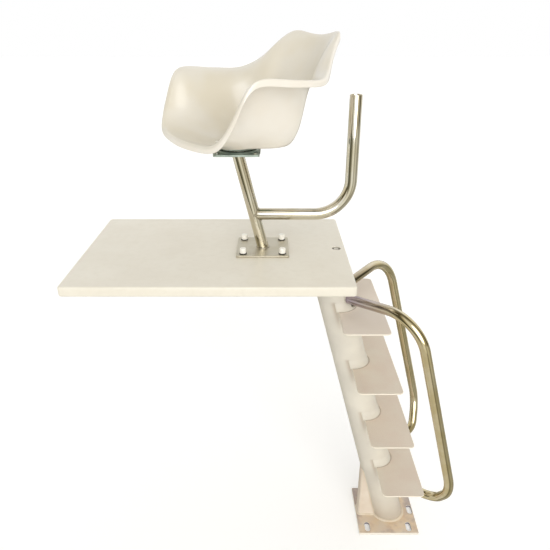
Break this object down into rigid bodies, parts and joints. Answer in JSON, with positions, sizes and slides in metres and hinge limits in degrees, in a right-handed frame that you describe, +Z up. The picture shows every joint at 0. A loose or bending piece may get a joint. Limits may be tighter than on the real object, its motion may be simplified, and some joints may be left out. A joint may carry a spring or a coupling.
{
  "type": "lifeguard chair",
  "caption": "Pool lifeguard chair: moulded swivel seat on a platform carried by one leaning column, with ladder treads, two handrails and an umbrella holder.",
  "frame": {"origin": "middle of the base plate's underside, on the pool deck", "axes": "+Z up, +X towards the ladder side, -X the way the lifeguard faces over the platform, -Y the side the picture shows"},
  "size_m": [1.5998, 0.772, 2.3663],
  "materials": {
    "frame_paint": "gloss cream powder coat",
    "deck_gelcoat": "gloss cream gelcoat",
    "shell_plastic": "gloss cream moulded plastic",
    "polished_stainless": "polished stainless steel",
    "brushed_stainless": "brushed stainless steel",
    "zinc_plate": "zinc plated steel",
    "cap_plastic": "satin white plastic",
    "washer_rubber": "matte black rubber"
  },
  "bodies": {
    "stand": {"base_plate": "frame_paint", "column": "frame_paint", "column_gusset": "frame_paint", "tread_1": "frame_paint", "tread_2": "frame_paint", "tread_3": "frame_paint", "tread_4": "frame_paint", "tread_saddle_1": "frame_paint", "tread_saddle_2": "frame_paint", "tread_saddle_3": "frame_paint", "tread_saddle_4": "frame_paint", "column_head_plate": "frame_paint", "platform_arm": "frame_paint", "platform_crossbar": "frame_paint", "deck_screw_near": "zinc_plate", "deck_screw_far": "zinc_plate", "platform_deck": "deck_gelcoat", "deck_rear_bolt": "brushed_stainless", "handrail_near": "polished_stainless", "handrail_spigot_near": "frame_paint", "handrail_bolt_near": "brushed_stainless", "handrail_stud_near": "brushed_stainless", "handrail_far": "polished_stainless", "handrail_spigot_far": "frame_paint", "handrail_bolt_far": "brushed_stainless", "handrail_stud_far": "brushed_stainless", "seat_flange": "brushed_stainless", "seat_post": "polished_stainless", "flange_bolt_1": "zinc_plate", "flange_washer_1": "washer_rubber", "flange_nut_1": "zinc_plate", "nut_cap_1": "cap_plastic", "flange_bolt_2": "zinc_plate", "flange_washer_2": "washer_rubber", "flange_nut_2": "zinc_plate", "nut_cap_2": "cap_plastic", "flange_bolt_3": "zinc_plate", "flange_washer_3": "washer_rubber", "flange_nut_3": "zinc_plate", "nut_cap_3": "cap_plastic", "flange_bolt_4": "zinc_plate", "flange_washer_4": "washer_rubber", "flange_nut_4": "zinc_plate", "nut_cap_4": "cap_plastic", "umbrella_arm": "polished_stainless", "umbrella_socket": "polished_stainless", "post_top_plate": "zinc_plate", "swivel_lower_plate": "zinc_plate", "swivel_bolt_1": "zinc_plate", "swivel_bolt_2": "zinc_plate", "swivel_bolt_3": "zinc_plate", "swivel_bolt_4": "zinc_plate", "swivel_ball_cage": "zinc_plate"},
    "seat": {"swivel_upper_plate": "zinc_plate", "seat_shell": "shell_plastic", "seat_screw_1": "cap_plastic", "seat_screw_2": "cap_plastic", "seat_screw_3": "cap_plastic", "seat_screw_4": "cap_plastic"}
  },
  "joints": [
    {"name": "seat_swivel", "type": "hinge", "parent": "stand", "child": "seat", "pos_m": [-0.74118, 0, 1.963], "axis": [0, 0, 1], "continuous": true}
  ]
}
